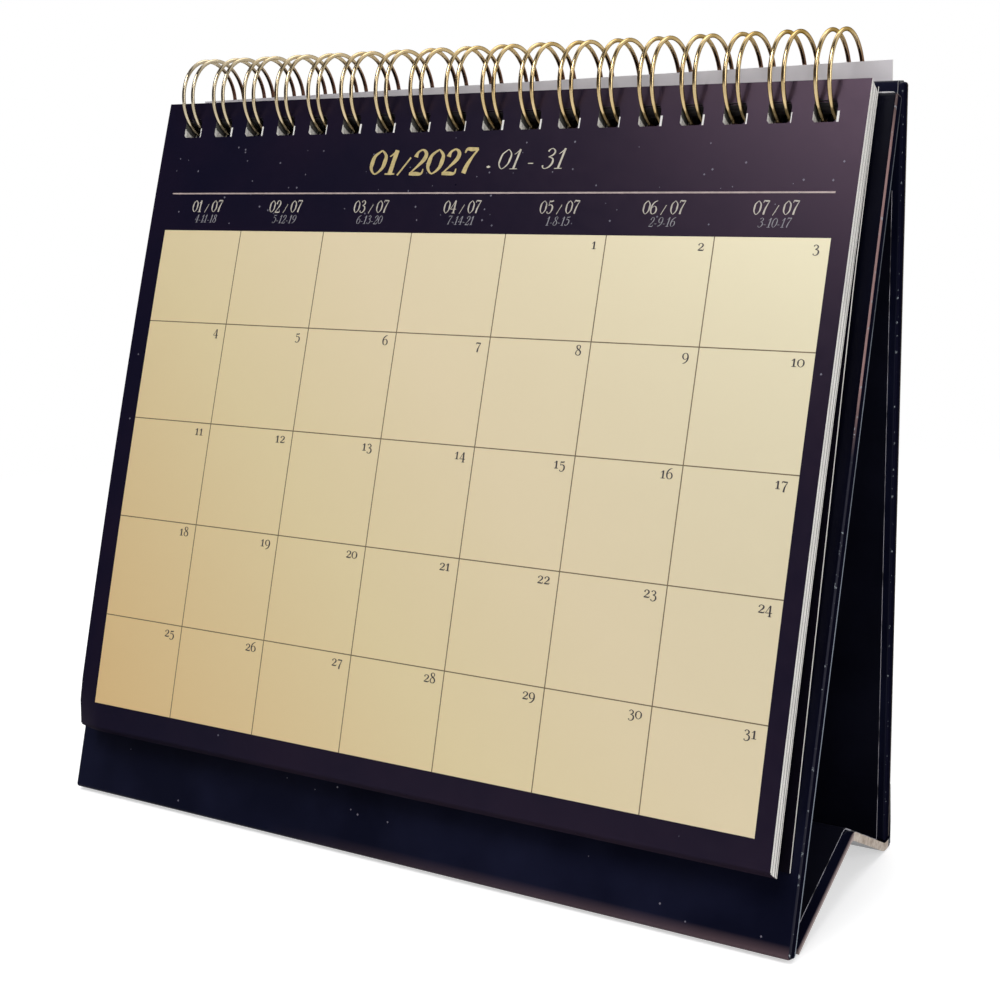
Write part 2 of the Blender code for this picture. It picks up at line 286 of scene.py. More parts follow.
def noise(shader, scale, detail=3.0, stretch=(1.0, 1.0, 1.0)):
    """Noise in object space for a shader, stretched along the axes."""
    tree = shader.id_data
    place = add_node(tree, "TexCoord").outputs["Object"]
    place = add_node(tree, "Mapping", place, Scale=stretch).outputs["Vector"]
    return add_node(tree, "TexNoise", place, Scale=scale, Detail=detail).outputs["Fac"]


def above(shader, direction, low, high):
    """How far a point lies along a direction, laid out so that low is 0 and high is 1."""
    tree = shader.id_data
    place = add_node(tree, "TexCoord").outputs["Object"]
    dot = add_node(tree, "VectorMath", place, direction, operation="DOT_PRODUCT")
    return add_node(tree, "MapRange", dot.outputs["Value"], low, high).outputs["Result"]


def ramp(source, *stops):
    """Colour ramp through (position, colour) stops."""
    node = add_node(source.id_data, "ValToRGB", source)
    band = node.color_ramp
    while len(band.elements) < len(stops):
        band.elements.new(0.5)
    for element, (position, colour) in zip(band.elements, stops):
        element.position = position
        element.color = (*colour, 1.0)
    return node.outputs["Color"]


def spread(source, low, high):
    """Source values from 0 to 1 laid out from low to high."""
    node = add_node(source.id_data, "MapRange", source, 0.0, 1.0, low, high)
    return node.outputs["Result"]


def multiplied(one, other):
    node = add_node(one.id_data, "Math", one, other, operation="MULTIPLY")
    return node.outputs["Value"]


def paint(shader, tone):
    plug(shader.inputs["Base Color"], tone)


def paint_over(shader, share, colour):
    """Mix a colour by a share over the tone that a shader has been painted with."""
    tone = shader.inputs["Base Color"].links[0].from_socket
    mix = add_node(shader.id_data, "MixRGB", share, tone, colour)
    paint(shader, mix.outputs["Color"])


def mottle(shader, scale, *stops, detail=3.0, stretch=(1.0, 1.0, 1.0)):
    """Paint a shader with noise laid out through colour stops."""
    paint(shader, ramp(noise(shader, scale, detail, stretch), *stops))


def roughen(shader, scale, low, high):
    """Roughness that wanders between low and high."""
    plug(shader.inputs["Roughness"], spread(noise(shader, scale), low, high))


def add_bump(shader, scale, strength, distance, detail=3.0):
    """Bumps of noise, on top of any that the shader has."""
    bump = add_node(
        shader.id_data, "Bump",
        Height=noise(shader, scale, detail), Strength=strength, Distance=distance,
    )
    normal = shader.inputs["Normal"]
    if normal.is_linked:
        plug(bump.inputs["Normal"], normal.links[0].from_socket)
    plug(normal, bump.outputs["Normal"])


# Materials


def printed_ground():
    """Coated card printed dark navy with a trace of purple, its coat thinner to the left."""
    colour = (0.007, 0.005, 0.014)
    material, shader = new_material("Printed ground", colour, 0.30, specular=0.4)
    plug(shader.inputs["Specular Tint"], (1.0, 0.66, 0.86))
    coat = ramp(above(shader, RIGHT, -0.08, 0.05), (0.0, grey(0.03)), (1.0, grey(0.41)))
    plug(shader.inputs["Specular IOR Level"], coat)
    mottle(shader, 60.0, (0.35, (0.0055, 0.0050, 0.0150)), (0.7, (0.0085, 0.0060, 0.0165)))
    roughen(shader, 400.0, 0.25, 0.35)
    add_bump(shader, 2500.0, 0.12, 0.00004)
    add_bump(shader, 25.0, 0.10, 0.0006, 1.0)
    return material


def gold_panel():
    """Pale pearl gold ink with a painted sheen: paler towards the upper right, deeper towards the
    lower left.
    """
    material, shader = new_material("Pearl gold panel", (0.70, 0.60, 0.40), 0.42, 0.25)
    foot = leaning(0.0, LEAF_HEIGHT, 0.0).z
    head = leaning(0.0, GRID_TOP, 0.0).z
    both = add_node(
        shader.id_data, "Mix", data_type="FLOAT", Factor=0.6,
        A=above(shader, UP, foot, head),
        B=above(shader, RIGHT, -LEAF_WIDTH / 2, LEAF_WIDTH / 2),
    )
    # Painted sheen: the tone runs from deep gold at the lower left to pale gold at the upper right.
    paint(shader, ramp(
        both.outputs["Result"],
        (0.0, (0.70, 0.475, 0.210)),
        (0.40, (0.80, 0.67, 0.395)),
        (0.60, (0.825, 0.70, 0.463)),
        (1.0, (0.75, 0.69, 0.485)),
    ))
    roughen(shader, 500.0, 0.38, 0.48)
    add_bump(shader, 2500.0, 0.10, 0.00004)
    add_bump(shader, 25.0, 0.10, 0.0006, 1.0)
    return material


def plain_ink(name, colour, roughness=0.5, metallic=0.0, specular=0.5):
    material, shader = new_material(name, colour, roughness, metallic, specular)
    mottle(shader, 900.0, (0.3, times(0.75, colour)), (0.65, colour))
    return material


def white_card(name, colour):
    """Uncoated side of the card, with a faint mottle and a fibrous surface."""
    material, shader = new_material(name, colour, 0.7, specular=0.3)
    mottle(shader, 120.0, (0.3, times(0.93, colour)), (0.7, colour))
    add_bump(shader, 1800.0, 0.25, 0.00005)
    add_bump(shader, 18.0, 0.10, 0.0008, 1.0)
    return material


def cut_edge(name, light):
    """Cut edge of a leaf: pale, with streaks that run along the cut."""
    pale = times(light, (0.93, 0.91, 0.86))
    material, shader = new_material(name, pale, 0.8, specular=0.2)
    stops = (0.3, times(0.84, pale)), (0.6, pale)
    mottle(shader, 700.0, *stops, detail=2.0, stretch=(1.0, 1.0, 0.12))
    return material


def laminate(name, colour, gloss):
    """Dark wrap under a glossy film that ripples a little over the board."""
    material, shader = new_material(name, colour, gloss, specular=0.07)
    lighter = tuple(1.9 * part + 0.002 for part in colour)
    mottle(shader, 45.0, (0.4, colour), (0.75, lighter))
    roughen(shader, 130.0, gloss, gloss + 0.14)
    add_bump(shader, 1400.0, 0.08, 0.00004)
    add_bump(shader, 30.0, 0.16, 0.0008, 2.0)
    return material, shader


def front_wrap(colour, gloss):
    """The laminate of the front board: darkened beside the leaves as painted shade, scuffed brown
    along its foot.
    """
    material, shader = laminate("Front wrap", colour, gloss)
    plug(shader.inputs["Specular IOR Level"], 0.045)
    # Painted shade: above its foot the wrap is darkened where the leaves stand in front of it.
    dark = ramp(above(shader, UP, 0.02, 0.05), (0.0, BLACK), (1.0, grey(0.75)))
    paint_over(shader, dark, (0.001, 0.0009, 0.003))
    foot = ramp(above(shader, UP, 0.0, SCUFF_HEIGHT), (0.1, WHITE), (1.0, BLACK))
    side = ramp(above(shader, RIGHT, -0.03, 0.09), (0.0, BLACK), (1.0, WHITE))
    paint_over(shader, multiplied(foot, side), (0.14, 0.090, 0.100))
    return material


def worn_fold(name, glint_tone, low, high, specular=0.15):
    """Film stretched over a board's edge: a painted glint between low and high, with worn flecks all
    along.
    """
    material, shader = new_material(name, (0.05, 0.04, 0.06), 0.4, specular=specular)
    patches = spread(noise(shader, 90.0), 0.8, 1.2)
    # Painted glint: the glint tone lies in a band between low and high.
    paint(shader, ramp(
        multiplied(above(shader, UP, low, high), patches),
        (0.15, (0.006, 0.006, 0.016)),
        (0.27, glint_tone),
        (0.66, glint_tone),
        (0.82, tuple(0.35 * part + 0.01 for part in glint_tone)),
        (1.0, (0.02, 0.02, 0.03)),
    ))
    flecks = ramp(noise(shader, 1300.0, 4.0), (0.62, BLACK), (0.70, WHITE))
    paint_over(shader, flecks, (0.26, 0.29, 0.32))
    add_bump(shader, 900.0, 0.3, 0.0001)
    return material


def base_fold(slope, start):
    """End of the base in front of the crease: brown along its lower edge, darker towards the top."""
    material, shader = new_material("Base end darker above", (0.02, 0.02, 0.03), 0.8, specular=0.0)
    normal = (0.0, -math.sin(slope), math.cos(slope))
    low = -start * math.sin(slope)
    paint(shader, ramp(
        above(shader, normal, low, low + BASE_THICKNESS),
        (0.05, (0.46, 0.38, 0.36)),
        (0.6, (0.16, 0.12, 0.125)),
        (0.95, (0.006, 0.006, 0.014)),
    ))
    add_bump(shader, 700.0, 0.2, 0.0001)
    return material


def lining_edge(name, pale, share):
    """Cut edge of the lining, pale over a share of its length and dark in between, in patches of
    noise.
    """
    material, shader = new_material(name, pale, 0.7, specular=0.2)
    low, high = 0.62 - share / 2, 0.78 - share / 2
    mottle(shader, 260.0, (low, times(0.12, pale)), (high, pale), detail=4.0)
    return material


def raw_board(name, light):
    """Raw greyboard: fibres and the layers that it is pressed from."""
    dull = times(light, (0.34, 0.27, 0.22))
    mid = times(light, (0.52, 0.44, 0.37))
    pale = times(light, (0.66, 0.60, 0.54))
    material, shader = new_material(name, mid, 0.9, specular=0.2)
    stops = (0.3, dull), (0.5, mid), (0.75, pale)
    mottle(shader, 900.0, *stops, detail=4.0, stretch=(0.3, 1.0, 1.0))
    add_bump(shader, 1600.0, 0.6, 0.0001)
    return material


def gold_wire():
    """Gold lacquered wire, its outlines dark, with painted light and shade: paler to the left,
    darkened to maroon behind the boards.
    """
    material, shader = new_material("Gold wire", (0.60, 0.45, 0.21), 0.20, 1.0)
    plug(shader.inputs["Specular Tint"], (0.20, 0.15, 0.09))
    mottle(shader, 250.0, (0.3, (0.50, 0.365, 0.18)), (0.7, (0.65, 0.505, 0.285)))
    # Painted light: the rings are made paler towards the left.
    left = above(shader, RIGHT, 0.0, -LEAF_WIDTH / 2)
    paint_over(shader, spread(left, 0.0, 0.75), (0.47, 0.43, 0.34))
    # Painted shade: the wire behind the boards is darkened to maroon.
    behind = above(shader, BACK, RING.y, RING.y + RING_RADIUS)
    paint_over(shader, ramp(behind, (0.45, BLACK), (0.95, WHITE)), (0.17, 0.085, 0.06))
    roughen(shader, 500.0, 0.17, 0.24)
    return material


# Mesh builders


def add_object(name, data):
    thing = bpy.data.objects.new(name, data)
    bpy.context.scene.collection.objects.link(thing)
    return thing


def finish_mesh(name, work, materials, sharp=math.radians(35)):
    bmesh.ops.recalc_face_normals(work, faces=work.faces)
    mesh = bpy.data.meshes.new(name)
    work.to_mesh(mesh)
    work.free()
    for material in materials:
        mesh.materials.append(material)
    mesh.shade_smooth()
    mesh.set_sharp_from_angle(angle=sharp)
    return add_object(name, mesh)


def sheet(name, across, along, point, slot, materials, cell=None):
    """Closed thin sheet over a grid of places across and along it.

    point(x, s, side) is a point of its front (side 0) or back (side 1), slot(kind, x, s)
    the material of a face of kind "front", "back" or "edge", and cell(x, s) lists which
    corners of a cell are kept, counted round from its low x and low s.
    """
    work = bmesh.new()
    grids = [[[work.verts.new(point(x, s, side)) for s in along] for x in across] for side in (0, 1)]
    borders = {}
    for i in range(len(across) - 1):
        for j in range(len(along) - 1):
            middle = (across[i] + across[i + 1]) / 2, (along[j] + along[j + 1]) / 2
            kept = cell(*middle) if cell else (0, 1, 2, 3)
            if len(kept) < 3:
                continue
            ring = [((i, j), (i + 1, j), (i + 1, j + 1), (i, j + 1))[k] for k in kept]
            for side, kind in ((0, "front"), (1, "back")):
                face = work.faces.new([grids[side][a][b] for a, b in ring])
                face.material_index = slot(kind, *middle)
            for start, end in zip(ring, ring[1:] + ring[:1]):
                key = frozenset((start, end))
                if key in borders:
                    borders[key] = None
                else:
                    borders[key] = (start, end, middle)
    for border in borders.values():
        if border:
            (a, b), (c, d), middle = border
            wall = (grids[0][a][b], grids[0][c][d], grids[1][c][d], grids[1][a][b])
            work.faces.new(wall).material_index = slot("edge", *middle)
    for grid in grids:
        for row in grid:
            for vert in row:
                if not vert.link_faces:
                    work.verts.remove(vert)
    return finish_mesh(name, work, materials)


def loop_centre(index):
    return (index - (LOOP_COUNT - 1) / 2) * PITCH


def nearest_hole(x):
    """Number of the hole nearest to a place across, and how far right of its middle that is."""
    index = round(x / PITCH + (LOOP_COUNT - 1) / 2)
    return index, x - loop_centre(index)


def hole_stations():
    """Places across a leaf where the sides and rounded corners of its holes lie."""
    places = []
    for index in range(LOOP_COUNT):
        middle = loop_centre(index)
        for side in (-1, 1):
            places.append(middle + side * HOLE_WIDTH / 2)
            places.append(middle + side * (HOLE_WIDTH / 2 - HOLE_ROUND))
    return places


def hole_rows():
    top = HOLE_MARGIN
    foot = HOLE_MARGIN + HOLE_HEIGHT
    return [top, top + HOLE_ROUND, foot - HOLE_ROUND, foot]


def punched(x, down):
    """Kept corners of a cell of a leaf: all of them, none in a hole, three at its corners."""
    top, round_top, round_foot, foot = hole_rows()
    index, reach = nearest_hole(x)
    if not (0 <= index < LOOP_COUNT and abs(reach) <= HOLE_WIDTH / 2 and top < down < foot):
        return 0, 1, 2, 3
    if abs(reach) < HOLE_WIDTH / 2 - HOLE_ROUND or round_top < down < round_foot:
        return ()
    if down < round_top:
        return (0, 1, 3) if reach < 0 else (0, 1, 2)
    return (0, 2, 3) if reach < 0 else (1, 2, 3)


def filled(stations, step):
    """Stations with more put between those that lie further apart than a step."""
    stations = sorted(set(round(place, 7) for place in stations))
    places = []
    for here, there in zip(stations, stations[1:]):
        count = max(1, math.ceil((there - here) / step))
        places += [here + (there - here) * k / count for k in range(count)]
    return places + [stations[-1]]


# Month leaves

# HOLE_CUT is a cut edge painted dark as shade for the upper walls of the holes.
PALE_CUT, CARD, GROUND, PANEL, GRID_LINE, RULE, MID_CUT, DULL_CUT, HOLE_CUT, SHADED = range(10)


def in_holes(x, down):
    """Whether a wall beside this place is an upper wall of a hole, whose cut edge is painted dark as
    shade.
    """
    upper = HOLE_MARGIN / 2 < down < HOLE_MARGIN + HOLE_HEIGHT / 2
    return upper and abs(x) < -loop_centre(0) + PITCH / 2


def torn(index):
    """Width of the white paper torn bare on the right of a punched hole."""
    return HOLE_TEAR * (0.45 + 0.55 * (3 * index % 4) / 3)


def is_torn(x, down):
    """Whether a place lies on the bare paper beside the lower half of a hole."""
    index, reach = nearest_hole(x)
    foot = HOLE_MARGIN + HOLE_HEIGHT
    beside = 0 <= index < LOOP_COUNT and 0 < reach - HOLE_WIDTH / 2 < torn(index)
    return beside and foot - HOLE_HEIGHT / 2 < down < foot


def grid_lines():
    left = GRID_LEFT - LEAF_WIDTH / 2
    columns = [left + COLUMN_WIDTH * i for i in range(8)]
    columns[0] += PANEL_TRIM
    rows = [GRID_TOP]
    for height in ROW_HEIGHTS:
        rows.append(rows[-1] + height)
    return columns, rows


def month_leaf(layer, materials):
    """One leaf of the block. Layer 0 carries the print."""
    columns, rows = grid_lines()
    half_line = LINE_WIDTH / 2
    rule_start = RULE_LEFT - LEAF_WIDTH / 2
    rule_end = LEAF_WIDTH / 2 - RULE_RIGHT
    across = [-LEAF_WIDTH / 2, LEAF_WIDTH / 2] + hole_stations()
    along = [0.0, HOLE_MARGIN / 2, HOLE_MARGIN + HOLE_HEIGHT / 2, LEAF_HEIGHT] + hole_rows()
    if layer == 0:
        across += [loop_centre(i) + HOLE_WIDTH / 2 + torn(i) for i in range(LOOP_COUNT)]
        across += [rule_start, rule_end, columns[0], columns[-1]]
        along += [RULE_DROP, RULE_DROP + RULE_WIDTH, rows[0], rows[-1]]
        for column in columns[1:-1]:
            across += [column - half_line, column + half_line]
        for row in rows[1:-1]:
            along += [row - half_line, row + half_line]
    across = filled(across, CELL_WIDTH)
    along = filled(along, CELL_HEIGHT)

    last = layer == MONTH_LEAVES - 1
    shift = drop = twist = 0.0
    cut = PALE_CUT
    thickness = LEAF_CARD
    if layer:
        shift = random.uniform(-LEAF_SHIFT, LEAF_SHIFT)
        drop = random.uniform(-LEAF_SHIFT, LEAF_SHIFT)
        twist = random.uniform(-LEAF_TWIST, LEAF_TWIST)
        cut = random.choice((PALE_CUT, MID_CUT, DULL_CUT))
    skew = twist
    if last:
        skew += LAST_LEAF_SKEW
        drop += LAST_LEAF_DROP
        cut = PALE_CUT
        thickness = LAST_LEAF_CARD
    elif layer:
        drop += LEAF_HANG[0] + (LEAF_HANG[1] - LEAF_HANG[0]) * layer / (MONTH_LEAVES - 2)

    def point(x, down, side):
        back = leaf_front(x, down, layer) + side * thickness
        return hung(x + shift + skew * (down - HOLE_MARGIN), down + drop - twist * x, back)

    def slot(kind, x, down):
        if kind == "edge":
            return HOLE_CUT if in_holes(x, down) else cut
        if kind == "back":
            return CARD
        if layer:
            # The last leaf's front is painted near-black as shade.
            return SHADED if last else GROUND
        if is_torn(x, down):
            return CARD
        if RULE_DROP < down < RULE_DROP + RULE_WIDTH and rule_start < x < rule_end:
            return RULE
        if not (columns[0] < x < columns[-1] and rows[0] < down < rows[-1]):
            return GROUND
        on_column = any(abs(x - column) < half_line for column in columns[1:-1])
        on_row = any(abs(down - row) < half_line for row in rows[1:-1])
        return GRID_LINE if on_column or on_row else PANEL

    leaf = sheet(f"month_leaf_{layer + 1:02d}", across, along, point, slot, materials, punched)
    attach(leaf, LEAVES)
    return leaf


# Figures, drawn as strokes of (x, y, width) in hundredths of an em, small ones 62 high

STROKES = {
    "0": [[(28, 62, 4), (8, 48, 9), (5, 31, 13), (8, 14, 9), (28, 0, 4), (48, 14, 9), (51, 31, 13),
           (48, 48, 9), (28, 62, 4)]],
    "1": [[(24, 62, 14), (24, 31, 13), (24, 2, 14)],
          [(4, 46, 3), (14, 52, 5), (24, 61, 6)],
          [(6, 2, 4), (24, 2, 5), (42, 2, 4)]],
    "2": [[(10, 44, 14), (13, 55, 7), (28, 61, 5), (44, 52, 11), (43, 38, 12), (24, 20, 6), (6, 5, 4)],
          [(5, 5, 8), (28, 5, 11), (49, 5, 7), (51, 16, 3)]],
    "3": [[(10, 49, 12), (15, 58, 6), (27, 61, 5), (41, 50, 11), (38, 36, 9), (20, 27, 4)],
          [(20, 27, 4), (42, 20, 9), (48, 3, 13), (40, -13, 9), (24, -20, 5), (11, -16, 6),
           (8, -7, 12)]],
    "4": [[(36, 62, 5), (20, 34, 4), (3, 8, 4)],
          [(3, 6, 5), (28, 6, 5), (55, 6, 5)],
          [(38, 62, 12), (38, 20, 13), (38, -20, 12)],
          [(24, -20, 4), (38, -20, 5), (52, -20, 4)]],
    "5": [[(12, 56, 10), (28, 55, 10), (45, 60, 8)],
          [(13, 60, 4), (12, 45, 4), (11, 30, 4)],
          [(11, 29, 4), (26, 35, 6), (44, 25, 11), (47, 6, 13), (38, -13, 8), (22, -20, 5),
           (11, -16, 6), (9, -8, 12)]],
    "6": [[(46, 84, 4), (26, 76, 8), (10, 56, 11), (6, 30, 13), (12, 9, 9), (29, 0, 4), (46, 10, 9),
           (50, 26, 12), (43, 43, 9), (29, 50, 4), (12, 40, 4)]],
    "7": [[(5, 46, 4), (9, 58, 8), (26, 57, 11), (48, 58, 7)],
          [(48, 58, 5), (36, 34, 7), (26, 6, 12), (23, -20, 14)]],
    "8": [[(28, 84, 4), (14, 77, 8), (12, 66, 11), (20, 53, 10), (38, 41, 11), (49, 25, 12),
           (44, 7, 9), (28, 0, 5), (11, 7, 8), (7, 21, 10), (15, 38, 6), (36, 52, 5), (43, 67, 9),
           (40, 78, 7), (28, 84, 4)]],
    "9": [[(10, -20, 4), (30, -13, 8), (46, 7, 11), (50, 32, 13), (44, 53, 9), (27, 62, 4),
           (10, 52, 9), (6, 36, 12), (13, 19, 9), (27, 12, 4), (44, 22, 4)]],
    "/": [[(4, -6, 5), (19, 31, 5), (34, 68, 5)]],
    ".": [[(8, 12, 2), (8, 7, 13), (8, 2, 2)]],
    "-": [[(5, 27, 5), (17, 27, 6), (29, 27, 5)]],
    " ": [],
}
ADVANCE = {"1": 0.50, "/": 0.42, ".": 0.34, "-": 0.40, " ": 0.30}
FIGURE_ADVANCE = 0.60
SMALL_HEIGHT = 0.62
FINEST_STROKE = 0.00004


def em_strokes(sign):
    """Strokes of a sign on an em of 1."""
    return [[tuple(part / 100 for part in point) for point in stroke] for stroke in STROKES[sign]]


def smooth_run(points, steps=4):
    """Points of a smooth curve through a stroke's points."""
    run = []
    for i in range(len(points) - 1):
        before = Vector(points[max(i - 1, 0)])
        here = Vector(points[i])
        there = Vector(points[i + 1])
        after = Vector(points[min(i + 2, len(points) - 1)])
        for k in range(steps):
            t = k / steps
            run.append(0.5 * (2 * here + (there - before) * t
                              + (2 * before - 5 * here + 4 * there - after) * t ** 2
                              + (3 * here - before - 3 * there + after) * t ** 3))
    run.append(Vector(points[-1]))
    return run


def add_ribbon(work, run, place, front, back, slot=0):
    """Closed ribbon of ink along a run of (x, y, width), laid on a surface by place."""
    rings = []
    for i, here in enumerate(run):
        ahead = run[min(i + 1, len(run) - 1)] - run[max(i - 1, 0)]
        normal = Vector((-ahead.y, ahead.x)).normalized() * max(here.z, FINEST_STROKE) / 2
        left = here.x + normal.x, here.y + normal.y
        right = here.x - normal.x, here.y - normal.y
        spots = [(*side, level) for side in (left, right) for level in (front, back)]
        rings.append([work.verts.new(place(*spot)) for spot in spots])
    faces = []
    for one, two in zip(rings, rings[1:]):
        for a, b in ((0, 2), (2, 3), (3, 1), (1, 0)):
            faces.append(work.faces.new((one[a], one[b], two[b], two[a])))
    for end in (rings[0], rings[-1]):
        faces.append(work.faces.new((end[0], end[1], end[3], end[2])))
    for face in faces:
        face.material_index = slot


def text_width(text, size):
    return size * sum(ADVANCE.get(sign, FIGURE_ADVANCE) for sign in text)


def on_front_leaf(x, up, level):
    """Place on the printed sheet, up being measured from its top edge, level outwards."""
    return hung(x, -up, leaf_front(x, -up, 0) - level)


def add_text(work, text, left, base, size, lining=False, weight=1.0, slant=0.0, slot=0, stretch=1.0):
    """Figures from a left end on a base line. Lining figures all fill the height from 0 to 1."""
    pen = left
    for sign in text:
        strokes = em_strokes(sign)
        low, high = 0.0, 1.0
        if lining and sign.isdigit():
            heights = [y for stroke in strokes for x, y, width in stroke]
            low, high = min(heights), max(heights)
        for number, stroke in enumerate(strokes):
            run = []
            for x, y, width in smooth_run(stroke):
                height = (y - low) / (high - low)
                reach = size * (stretch * x + slant * height)
                run.append(Vector((pen + reach, base + size * height, size * weight * width)))
            add_ribbon(work, run, on_front_leaf, INK_FRONT + INK_STEP * number, INK_BACK, slot)
        pen += size * stretch * ADVANCE.get(sign, FIGURE_ADVANCE)


def add_centred(work, text, middle, base, size, **style):
    add_text(work, text, middle - text_width(text, size) / 2, base, size, lining=True, **style)


FIRST_COLUMN = 4
DAYS = 31
DATE_SIZE = 0.0023
DATE_INSET = 0.00165
DATE_DROP = 0.00120
TITLE_LEFT = -0.0236
TITLE_SIZE = 0.0049
TITLE_BASE = 0.0163
TITLE_STRETCH = 1.32
STOP_LEFT = 0.0045
STOP_BASE = 0.0154
RANGE_LEFT = 0.0066
RANGE_SIZE = 0.0039
RANGE_BASE = 0.0155
RANGE_STRETCH = 1.20
HEADING_SIZE = 0.0025
HEADING_BASE = 0.0243
SUBHEADING_SIZE = 0.0017
SUBHEADING_DATES = 3
SUBHEADING_BASE = 0.0266


def date_figures(ink):
    work = bmesh.new()
    columns, rows = grid_lines()
    for day in range(1, DAYS + 1):
        row, column = divmod(day - 1 + FIRST_COLUMN, 7)
        left = columns[column + 1] - DATE_INSET - text_width(str(day), DATE_SIZE)
        base = -rows[row] - DATE_DROP - DATE_SIZE * SMALL_HEIGHT
        add_text(work, str(day), left, base, DATE_SIZE)
    return finish_mesh("date_figures", work, [ink])


def header_figures(inks):
    """Month and year, the range of days, and the headings of the columns."""
    work = bmesh.new()
    add_text(work, "01/2027", TITLE_LEFT, -TITLE_BASE, TITLE_SIZE,
             lining=True, weight=1.5, slant=0.22, stretch=TITLE_STRETCH)
    add_text(work, ".", STOP_LEFT, -STOP_BASE, TITLE_SIZE, weight=1.4, slot=1)
    add_text(work, "01 - 31", RANGE_LEFT, -RANGE_BASE, RANGE_SIZE,
             lining=True, weight=0.8, slant=0.28, slot=1, stretch=RANGE_STRETCH)
    for number, column in enumerate(grid_lines()[0][:7]):
        middle = column + COLUMN_WIDTH / 2
        heading = f"0{number + 1} / 07"
        add_centred(work, heading, middle, -HEADING_BASE, HEADING_SIZE, slant=0.12, slot=2)
        first = (number - FIRST_COLUMN) % 7 + 1
        dates = "-".join(str(first + 7 * week) for week in range(SUBHEADING_DATES))
        add_centred(work, dates, middle, -SUBHEADING_BASE, SUBHEADING_SIZE,
                    weight=0.8, slant=0.24, slot=3)
    return finish_mesh("header_figures", work, inks)


SHEET_SPECKS = 80
LIP_SPECKS = 14
SPECK_SIZES = (0.00018, 0.00050)
SPECKS_FROM = 0.009
SHEET_MARGIN = 0.001
LIP_MARGIN = 0.002


def add_speck(work, x, down, place):
    size = random.uniform(*SPECK_SIZES)
    run = [Vector((x, -down + k * size / 2, size * (1 - abs(k)))) for k in (-1, 0, 1)]
    add_ribbon(work, run, place, INK_FRONT / 2, INK_BACK)


def specks(ink):
    """Fine pale specks printed at random over the dark parts of the sheet."""
    work = bmesh.new()
    columns, rows = grid_lines()
    half = LEAF_WIDTH / 2 - SHEET_MARGIN
    clear = SPECK_SIZES[1]
    made = 0
    while made < SHEET_SPECKS:
        x = random.uniform(-half, half)
        in_header = random.uniform(SPECKS_FROM, GRID_TOP - SHEET_MARGIN)
        on_sheet = random.uniform(SPECKS_FROM, LEAF_HEIGHT - SHEET_MARGIN)
        down = random.choice((in_header, on_sheet))
        beside_panel = not columns[0] - clear < x < columns[-1] + clear
        if beside_panel or not rows[0] - clear < down < rows[-1] + clear:
            add_speck(work, x, down, on_front_leaf)
            made += 1
    return finish_mesh("printed_specks", work, [ink])


def lip_specks(ink):
    """The same specks on the front board, where it shows below the leaves."""
    work = bmesh.new()

    def on_board(x, up, level):
        return leaning(x, -up, -level)

    half = BOARD_WIDTH / 2 - LIP_MARGIN
    foot = FRONT_BOARD_DROP + FRONT_BOARD_LENGTH - LIP_MARGIN
    for count in range(LIP_SPECKS):
        x = random.uniform(-half, half)
        add_speck(work, x, random.uniform(LEAF_HEIGHT, foot), on_board)
    dots = finish_mesh("lip_specks", work, [ink])
    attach(dots, EASEL)


def build_month_leaves(card, edges):
    ground = printed_ground()
    panel = gold_panel()
    line = plain_ink("Grid line ink", (0.17, 0.12, 0.06))
    rule = plain_ink("Header rule ink", (0.44, 0.35, 0.33), 0.4)
    # Painted shade on the front of the last leaf, where it parts from the block.
    shade = plain_ink("Shaded ground", (0.003, 0.002, 0.006), 0.6, specular=0.04)
    materials = [edges[0], card, ground, panel, line, rule, *edges[1:], shade]
    front = month_leaf(0, materials)
    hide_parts("page_block")
    for layer in range(1, MONTH_LEAVES):
        month_leaf(layer, materials)
    date_ink = plain_ink("Date ink", (0.035, 0.028, 0.035), 0.45)
    header_inks = [
        plain_ink("Title gold", (0.72, 0.58, 0.27), 0.35, 0.4),
        plain_ink("Range ink", (0.56, 0.52, 0.42), 0.4),
        plain_ink("Heading ink", (0.50, 0.46, 0.40), 0.4),
        plain_ink("Subheading ink", (0.29, 0.28, 0.31), 0.4),
    ]
    speck_ink = plain_ink("Speck ink", (0.16, 0.15, 0.20), 0.5)
    for piece in (date_figures(date_ink), header_figures(header_inks), specks(speck_ink)):
        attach(piece, LEAVES)
    lip_specks(speck_ink)
    return ground


# Cover leaf behind the easel


def cover_leaf(card, edge, ground):
    """The leaf turned to the back, which hangs a little askew on the rings."""
    hole_y = RING_RADIUS * math.cos(HANG_ANGLE)
    hole_z = RING_RADIUS * math.sin(HANG_ANGLE) + COVER_LIFT
    top = hole_z + HOLE_HEIGHT / 2 + HOLE_MARGIN
    back_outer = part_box("back_board")[1][1] - RING.y
    gap = hole_y - back_outer - SEAT_GAP - LEAF_STEP - math.tan(COVER_YAW) * LEAF_WIDTH / 2
    tuck = math.atan2(gap, LEAF_HEIGHT - HOLE_MARGIN)
    turn = Matrix.Rotation(COVER_YAW, 4, "Z") @ Matrix.Rotation(-COVER_SKEW, 4, "Y")
    turn = turn @ Matrix.Rotation(-tuck, 4, "X")
    across = filled([-LEAF_WIDTH / 2, LEAF_WIDTH / 2] + hole_stations(), CELL_WIDTH)
    along = filled([0.0, LEAF_HEIGHT] + hole_rows(), CELL_HEIGHT)

    def point(x, down, side):
        y = hole_y + (side - 0.5) * LEAF_CARD
        return RING + turn @ Vector((x + COVER_SHIFT, y, top - down))

    def slot(kind, x, down):
        return ("edge", "front", "back").index(kind)

    leaf = sheet("cover_sheet", across, along, point, slot, [edge, card, ground], punched)
    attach(leaf, COVER)
    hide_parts("turned_leaf")


# Wire


